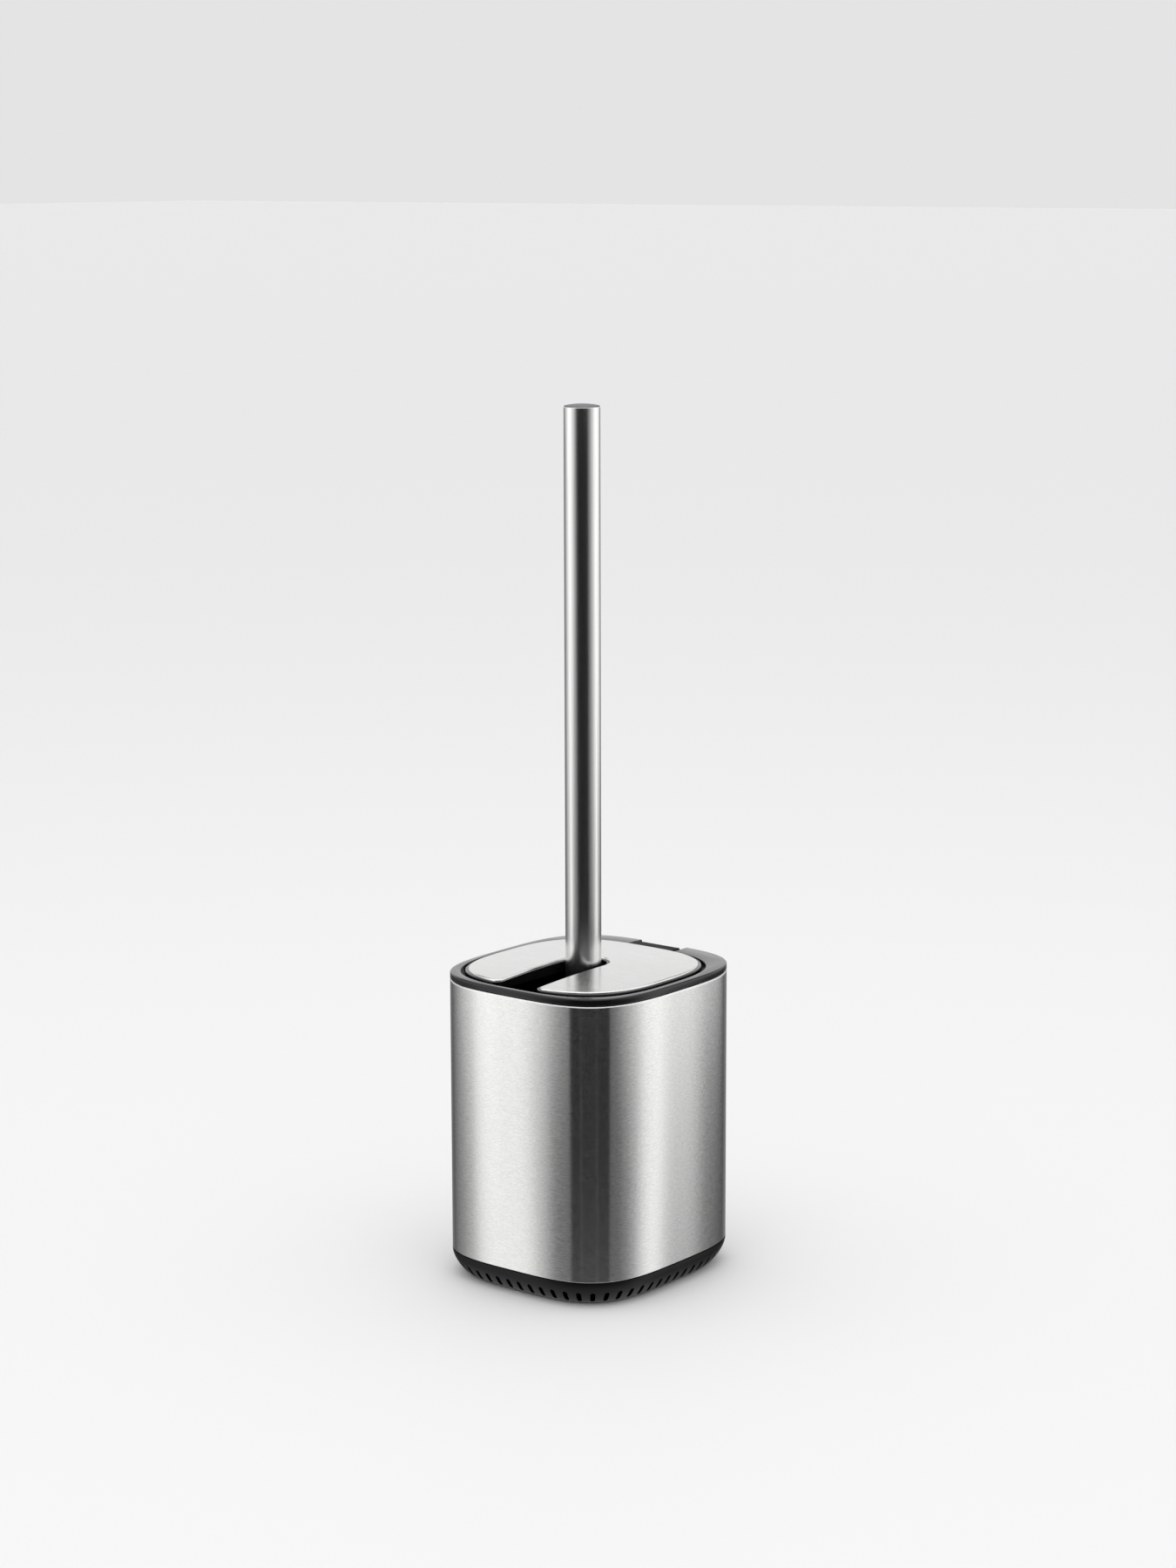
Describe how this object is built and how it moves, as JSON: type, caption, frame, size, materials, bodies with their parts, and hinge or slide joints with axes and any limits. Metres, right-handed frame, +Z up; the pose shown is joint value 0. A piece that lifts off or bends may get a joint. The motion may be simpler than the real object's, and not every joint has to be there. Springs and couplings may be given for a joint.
{
  "type": "toilet brush holder",
  "caption": "Free-standing rounded-square stainless canister with a slotted, rear-hinged lid, vented black base, loose drip cup and a long tubular-handled brush.",
  "frame": {"origin": "on the floor, under the middle of the canister", "axes": "+Z up, along the brush; -Y is the front, where the lid's slot opens; the lid's hinge is at +Y"},
  "size_m": [0.116, 0.126, 0.4375],
  "materials": {
    "brushed_stainless": "fine brushed grain round the body",
    "satin_tube": "satin, nearly polished",
    "plated_steel": "zinc plated",
    "black_plastic": "fine moulded texture",
    "grey_plastic": "smooth moulded",
    "black_rubber": "matt",
    "bristle_nylon": "fine nylon bristles"
  },
  "bodies": {
    "canister": {"outer_shell": "brushed_stainless", "inner_sleeve": "black_plastic", "top_collar": "black_plastic", "vented_base": "black_plastic", "drip_cup": "grey_plastic", "base_screw_1": "plated_steel", "base_screw_2": "plated_steel", "base_screw_3": "plated_steel", "base_screw_4": "plated_steel", "foot_pad_1": "black_rubber", "foot_pad_2": "black_rubber", "foot_pad_3": "black_rubber", "foot_pad_4": "black_rubber", "hinge_pin": "plated_steel"},
    "lid": {"lid_frame": "black_plastic", "lid_plate": "brushed_stainless", "lid_bumper_1": "black_rubber", "lid_bumper_2": "black_rubber"},
    "brush": {"handle_tube": "satin_tube", "handle_end_cap": "grey_plastic", "handle_plug": "black_plastic", "stem": "black_plastic", "stem_seal": "black_rubber", "head_core": "black_plastic", "head_bristles": "bristle_nylon"}
  },
  "joints": [
    {"name": "brush_lift", "type": "slide", "parent": "canister", "child": "brush", "axis": [0, 0, 1], "range_m": [0, 0.19]},
    {"name": "lid_hinge", "type": "hinge", "parent": "canister", "child": "lid", "pos_m": [0, 0.05856, 0.1516], "axis": [-1, 0, 0], "range_deg": [0, 85]}
  ],
  "couplings": [
    {"joint": "lid_hinge", "follows": "brush_lift", "rad_per_m": 7.75}
  ]
}
